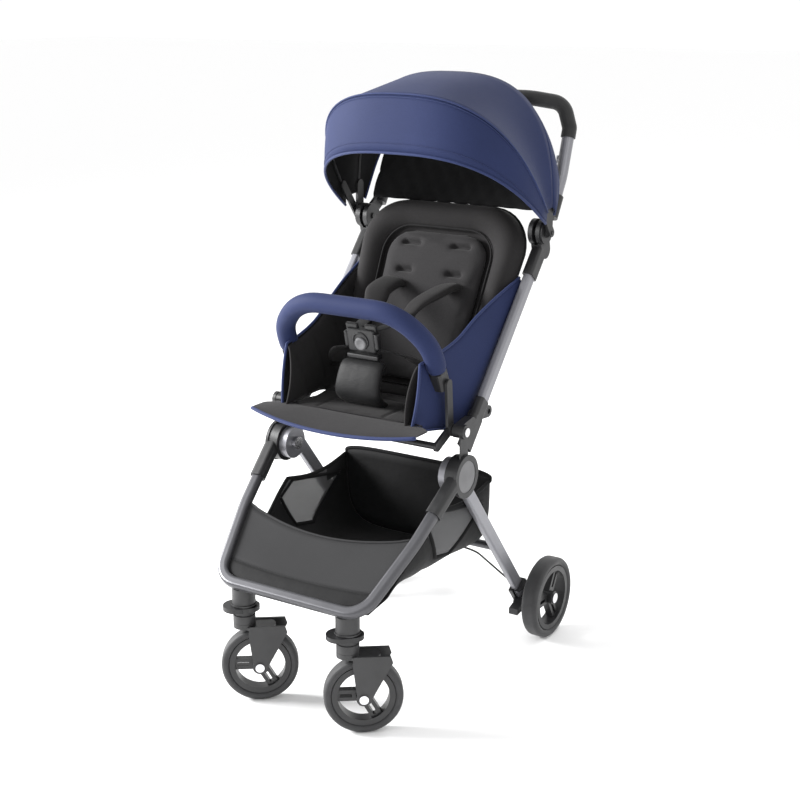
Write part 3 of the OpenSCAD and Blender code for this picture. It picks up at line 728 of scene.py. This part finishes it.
def dome(name, centre, axis, r, h, mats, body, sides=32, dish=0.0):
    """A low round head with a rounded edge; dish sinks its middle."""
    side = axis.orthogonal().normalized()
    up = axis.cross(side)
    profile = [(1.0, 0.0), (1.0, 0.55), (0.94, 0.85), (0.82, 1.0), (0.5, 1.0 - dish * 0.6), (0.2, 1.0 - dish)]
    verts = []
    for k, z in profile:
        verts += [centre + (side * math.cos(math.tau * i / sides) + up * math.sin(math.tau * i / sides)) * r * k
                  + axis * h * z for i in range(sides)]
    faces = [(a * sides + i, a * sides + (i + 1) % sides, (a + 1) * sides + (i + 1) % sides, (a + 1) * sides + i)
             for a in range(len(profile) - 1) for i in range(sides)]
    faces += [tuple(range(sides)), tuple(range(len(verts) - sides, len(verts)))]
    obj = from_mesh(name, verts, faces, mats)
    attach(obj, body)
    return obj


tilt = 12
b_at = lambda x, y, z: at(x, -14 + y * math.cos(math.radians(tilt)) - z * math.sin(math.radians(tilt)),
                          216 + y * math.sin(math.radians(tilt)) + z * math.cos(math.radians(tilt)))
shell = block("buckle_body", b_at(0, 0, 8), (58, 15, 44), [BLACK], "seat", 0.004, tilt)
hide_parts("buckle")
block("buckle_lower_bar", b_at(0, -1, -23), (66, 17, 9), [BLACK], "seat", 0.003, tilt)
block("buckle_slot_bar", b_at(0, -2, -34), (60, 12, 6), [BLACK], "seat", 0.0025, tilt)
for side in (-1, 1):
    tag = "right" if side > 0 else "left"
    block("buckle_prong_" + tag, b_at(side * 32, -1, 8), (8, 12, 30), [BLACK], "seat", 0.003, tilt)
    block("strap_adjuster_" + tag, b_at(side * 20, 1, 32), (24, 8, 12), [BLACK], "seat", 0.0025, tilt)
front_dir = Vector((0, -math.cos(math.radians(tilt)), -math.sin(math.radians(tilt))))
ring("buckle_button_ring", b_at(0, -8, 8), front_dir, 0.0155, 0.0016, [BLACK], "seat")
press = dome("buckle_push_button", b_at(0, -5, 3), front_dir, 0.0125, 0.0065, [CAP], "buckle_button", dish=0.35)
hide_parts("buckle_button")

# ---------- side wings ----------

TOP = [(142, -52, 205), (147, 0, 214), (153, 55, 230), (159, 110, 260), (167, 170, 287), (175, 240, 312)]
BOTTOM = [(138, -74, 90), (152, -14, 82), (169, 44, 76), (175, 84, 104), (177, 160, 196), (179, 240, 292)]
TUCKED = [(132, -78, 95), (138, -14, 97), (142, 40, 97), (144, 98, 92), (154, 152, 152), (165, 198, 240)]
for side in (-1, 1):
    tag = "right" if side > 0 else "left"
    top = curve_through([at(side * x, y, z) for x, y, z in TOP], 41)
    low = curve_through([at(side * x, y, z) for x, y, z in BOTTOM], 41)
    rows = []
    for k in range(13):
        v = k / 12
        row = []
        for i in range(41):
            p = lerp(low[i], top[i], v)
            belly = 0.009 * math.sin(math.pi * v) * (0.4 + 0.6 * math.sin(math.pi * i / 40))
            row.append(p + Vector((side * belly, 0, 0)))
        rows.append(row)
    wing = sheet_piece("side_wing_cloth_" + tag, rows, [NAVY, LINING], 0.0025, (at(0, 60, 200), 1),
                       1)
    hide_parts("side_wing_" + tag)
    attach(wing, "upper_frame")
    binding = [rows[k][0] for k in range(13)] + [p for p in rows[12][1:]]
    trim("side_wing_binding_" + tag, binding, 0.0026, [NAVY_TRIM], "upper_frame", sides=10)
    trim("side_wing_hem_" + tag, rows[0], 0.0024, [NAVY_TRIM], "upper_frame", sides=10)
    tucked = curve_through([at(side * x, y, z) for x, y, z in TUCKED], 41)
    lining = []
    for k in range(17):
        v = k / 16
        row = []
        for i in range(61):
            f = i / 60 * 40
            j = min(int(f), 39)
            p = lerp(lerp(tucked[j], tucked[j + 1], f - j), lerp(top[j], top[j + 1], f - j), lerp(0.0, 0.97, v))
            tuck = 0.006 * (1 - abs(math.sin(math.pi * (i / 15 + v * 0.8))) ** 0.45) * math.sin(math.pi * v) ** 0.4
            lean = 0.009 * math.sin(math.pi * v) ** 0.5
            row.append(p - Vector((side * (0.005 + lean - tuck), 0, 0)))
        lining.append(row)
    quilt = thicken(grid("side_lining_" + tag, lining, [SEAT], (at(0, 60, 200), -1)), 0.003)
    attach(quilt, "upper_frame")

# ---------- curtain behind the head ----------

curtain_rows = []
for k in range(25):
    v = k / 24
    row = []
    for i in range(49):
        u = lerp(-1, 1, i / 48)
        y, z = lerp(286, 318, v), lerp(430, 596, v)
        sag = 10 * math.sin(math.pi * v)
        quilted = sum(3 * abs(math.sin(math.pi * (u * 5 + lean * 3 * v))) ** 0.6 for lean in (1, -1))
        width = lerp(176, 150, v ** 2)
        row.append(at(width * u, y + 8 * (1 - u * u) + sag - quilted, z - 26 * v * abs(u) ** 3))
    curtain_rows.append(row)
curtain = sheet_piece("head_curtain", curtain_rows, [LINING], 0.002, (at(0, 100, 500), 1))
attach(curtain, "handle")

# ---------- bumper bar ----------

RISE = math.radians(66)
bumper_corner = lambda x, y: at(x, -20 + y * math.cos(RISE), 189 - y * math.sin(RISE))


def even(points, n):
    """n points evenly spaced along a line, with its corners eased."""
    lengths = [(b - a).length for a, b in zip(points, points[1:])]
    out, k, done = [], 0, 0.0
    for i in range(n):
        want = sum(lengths) * i / (n - 1)
        while k < len(lengths) - 1 and done + lengths[k] < want:
            done += lengths[k]
            k += 1
        out.append(lerp(points[k], points[k + 1], min(1, (want - done) / lengths[k])))
    for _ in range(10):
        out = [out[0]] + [(a + 2 * b + c) / 4 for a, b, c in zip(out, out[1:], out[2:])] + [out[-1]]
    return out


def fillet(points, radii, n=9):
    out = [points[0]]
    for i in range(1, len(points) - 1):
        a = (points[i] - points[i - 1]).normalized()
        b = (points[i + 1] - points[i]).normalized()
        ang = a.angle(b)
        r = radii[i]
        side = (b - a * a.dot(b)).normalized()
        centre = points[i] - a * r * math.tan(ang / 2) + side * r
        out += [centre - side * r * math.cos(ang * k / n) + a * r * math.sin(ang * k / n) for k in range(n + 1)]
    return out + [points[-1]]


bar_path = fillet([bumper_corner(157, 0), bumper_corner(157, -50), bumper_corner(104, -113), bumper_corner(-104, -113),
                   bumper_corner(-157, -50), bumper_corner(-157, 0)], [0, 0.07, 0.1, 0.1, 0.07, 0])
bar_path = even(bar_path, 140)
bumper = tube("bumper_sleeve", bar_path, 0.018, [NAVY], up=Vector((0, -math.cos(RISE), math.sin(RISE))), sides=28,
              scale=lambda t: min(1.0, 0.86 + 6 * min(t, 1 - t)))
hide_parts("bumper_bar")
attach(bumper, "bumper")
bumper_frames = frames_along(bar_path, Vector((0, -1, 0.2)))
trim("bumper_seam", [p - up * 0.0174 for p, (_, up) in zip(bar_path, bumper_frames)][6:-6],
     0.0011, [NAVY_TRIM], "bumper", sides=8)
for side in (-1, 1):
    cuff = [p for p in bar_path[:7]] if side > 0 else [p for p in bar_path[-7:]]
    trim("bumper_cuff_" + ("right" if side > 0 else "left"), cuff, 0.0158, [BLACK], "bumper", sides=24)

# ---------- footrest ----------

FRONT = math.radians(180 + 39.3)


def on_front(x, s, z):
    """A point in the plane of the front legs, s from the hub along them."""
    y = s * math.cos(FRONT) - (z - 17) * math.sin(FRONT)
    h = s * math.sin(FRONT) + (z - 17) * math.cos(FRONT)
    return at(x, y, h)


def leg_x(s):
    """Half the room between the front legs."""
    return lerp(194, 184, (s - 62) / 96) if s < 158 else lerp(184, 152, (s - 158) / 153) + 3


def footrest_rows(top_s, low_s, sag, n=10, inset=9.0):
    rows = []
    for k in range(n + 1):
        v = k / n
        row = []
        for i in range(49):
            u = lerp(-1, 1, i / 48)
            s = lerp(top_s(u), low_s(u), v)
            drop = sag * (1 - u * u) * math.sin(math.pi * lerp(0.15, 0.85, v))
            row.append(on_front((leg_x(s) - inset) * u, s, drop))
        rows.append(row)
    return rows


panel_rows = footrest_rows(lambda u: 152 + 32 * (1 - abs(u) ** 2.0), lambda u: 268 + 8 * (1 - u * u), 5)
footrest = sheet_piece("footrest_cloth", panel_rows, [PANEL, BASKET], 0.003, (at(0, 0, -250), 1),
                       1)
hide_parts("footrest_panel")
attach(footrest, "front_frame")
trim("footrest_top_piping", panel_rows[0], 0.0022, [PANEL], "front_frame", sides=10)
strip_rows = footrest_rows(lambda u: 268 + 8 * (1 - u * u), lambda u: 306 - 22 * abs(u) ** 6, -4, 6, 6.0)
strip = sheet_piece("footrest_strip", strip_rows, [BASKET], 0.003, (at(0, 0, -250), 1))
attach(strip, "front_frame")
trim("footrest_strip_seam", panel_rows[-1], 0.0015, [BASKET], "front_frame", sides=8)

# ---------- basket ----------

FLOOR_LINE = [(-232, -196), (-143, -176), (-76, -190), (-10, -197), (61, -196), (120, -203), (160, -206)]


def rim_height(y):
    """Height of the basket's top edge at the side."""
    leg = y * math.tan(math.radians(39.3)) - 36
    back = -62 - 14 * math.sin(math.pi * max(0, min(1, (y + 30) / 196)))
    return min(leg, back) if y > -60 else leg




def basket_section(y):
    """The basket's half width, floor and top edge at a place along it."""
    f = 0
    while FLOOR_LINE[f + 1][0] < y and f < len(FLOOR_LINE) - 2:
        f += 1
    (y0, z0), (y1, z1) = FLOOR_LINE[f], FLOOR_LINE[f + 1]
    floor = lerp(z0, z1, (y - y0) / (y1 - y0))
    top = max(rim_height(y), floor + 4)
    return (163 if y > -60 else lerp(150, 163, (y + 225) / 165)), floor, top


basket_rows = []
for k in range(61):
    y = lerp(-225, 164, k / 60)
    half, floor, top = basket_section(y)
    row = []
    for i in range(121):
        a = math.pi * i / 120
        c, s = math.cos(a), math.sin(a)
        x = half * math.copysign(abs(c) ** 0.36, c) * (1 - 0.05 * s)
        z = top + (floor - top) * s ** 0.42
        row.append(at(x, y, z))
    basket_rows.append(row)
basket = sheet_piece("basket_cloth", basket_rows, [BASKET, BASKET], 0.002, (at(0, 0, -100), 1),
                     1)
basket.data.materials.append(NET)
WINDOW = [(-56, -92), (-18, -68), (138, -96), (92, -126), (30, -166), (-20, -156)]


def in_window(y, z):
    inside_it = False
    for (y0, z0), (y1, z1) in zip(WINDOW, WINDOW[1:] + WINDOW[:1]):
        if (z0 > z) != (z1 > z) and y < y0 + (z - z0) / (z1 - z0) * (y1 - y0):
            inside_it = not inside_it
    return inside_it


for face in basket.data.polygons:
    c = face.center
    if abs(c.x) > 0.12 and in_window((c.y - HUB.y) * 1000, (c.z - HUB.z) * 1000):
        face.material_index = 2
for side in (-1, 1):
    edge_line = []
    for (y0, z0), (y1, z1) in zip(WINDOW, WINDOW[1:] + WINDOW[:1]):
        for k in range(10):
            y, z = lerp(y0, y1, k / 10), lerp(z0, z1, k / 10)
            half, floor, top = basket_section(y)
            s = max(0, min(1, (top - z) / (top - floor))) ** (1 / 0.42)
            edge_line.append(at(side * half * (1 - s * s) ** 0.18 * (1 - 0.05 * s), y, z))
    trim("basket_window_binding_" + ("right" if side > 0 else "left"), edge_line + edge_line[:1], 0.0042, [LINING],
         "front_frame", sides=8, closed=False)
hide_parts("basket")
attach(basket, "front_frame")
back_row = basket_rows[-1]
rear_wall = []
for k in range(9):
    v = k / 8
    row = []
    for i in range(121):
        p = back_row[i].copy()
        lid = at(0, 0, -56 + 10 * math.sin(math.pi * i / 120)).z
        p.z = lerp(p.z, lid, v)
        p.y += 0.006 * math.sin(math.pi * v) * math.sin(math.pi * i / 120)
        row.append(p)
    rear_wall.append(row)
wall = sheet_piece("basket_rear_wall", rear_wall, [BASKET], 0.002, (at(0, 0, -100), 1))
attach(wall, "front_frame")
rim_points = [row[0] for row in basket_rows[14:]] + rear_wall[-1] + [row[-1] for row in reversed(basket_rows[14:])]
trim("basket_rim", rim_points, 0.0036, [LINING], "front_frame", sides=10, wide=1.0)

# ---------- camera, floor and light ----------

cam_data = bpy.data.cameras.new("camera")
cam = bpy.data.objects.new("camera", cam_data)
bpy.context.collection.objects.link(cam)
cam.location = (1.4011, -2.0773 + HUB.y, 1.2278)
cam.rotation_euler = (math.radians(74.25), 0, math.radians(32.69))
cam_data.lens = 64.9
cam_data.sensor_width = 36
bpy.context.scene.camera = cam

floor_mesh = bpy.data.meshes.new("floor")
floor_mesh.from_pydata([(-30, -30, 0), (30, -30, 0), (30, 30, 0), (-30, 30, 0)], [], [(0, 1, 2, 3)])
floor = bpy.data.objects.new("floor", floor_mesh)
bpy.context.collection.objects.link(floor)
floor_mat = bpy.data.materials.new("floor")
floor_mat.use_nodes = True
floor_mat.node_tree.nodes["Principled BSDF"].inputs["Base Color"].default_value = (0.97, 0.97, 0.97, 1)
floor_mat.node_tree.nodes["Principled BSDF"].inputs["Roughness"].default_value = 0.9
floor_mesh.materials.append(floor_mat)

world = bpy.data.worlds.new("studio")
world.use_nodes = True
world.node_tree.nodes["Background"].inputs["Color"].default_value = (1, 1, 1, 1)
world.node_tree.nodes["Background"].inputs["Strength"].default_value = 1.02
bpy.context.scene.world = world


def light(name, where, target, size, power, color=(1, 1, 1)):
    data = bpy.data.lights.new(name, "AREA")
    data.energy = power
    data.size = size
    data.color = color
    obj = bpy.data.objects.new(name, data)
    bpy.context.collection.objects.link(obj)
    obj.location = where
    obj.rotation_euler = (Vector(target) - Vector(where)).to_track_quat("-Z", "Y").to_euler()


light("key", (-2.6, -1.3, 1.7), (0, 0, 0.75), 1.2, 230)
light("fill", (2.4, -1.0, 1.6), (0, 0, 0.5), 1.4, 6)
light("rim", (0.6, 2.4, 2.2), (0, 0, 0.7), 1.6, 22)
bpy.context.scene.view_settings.view_transform = "Standard"
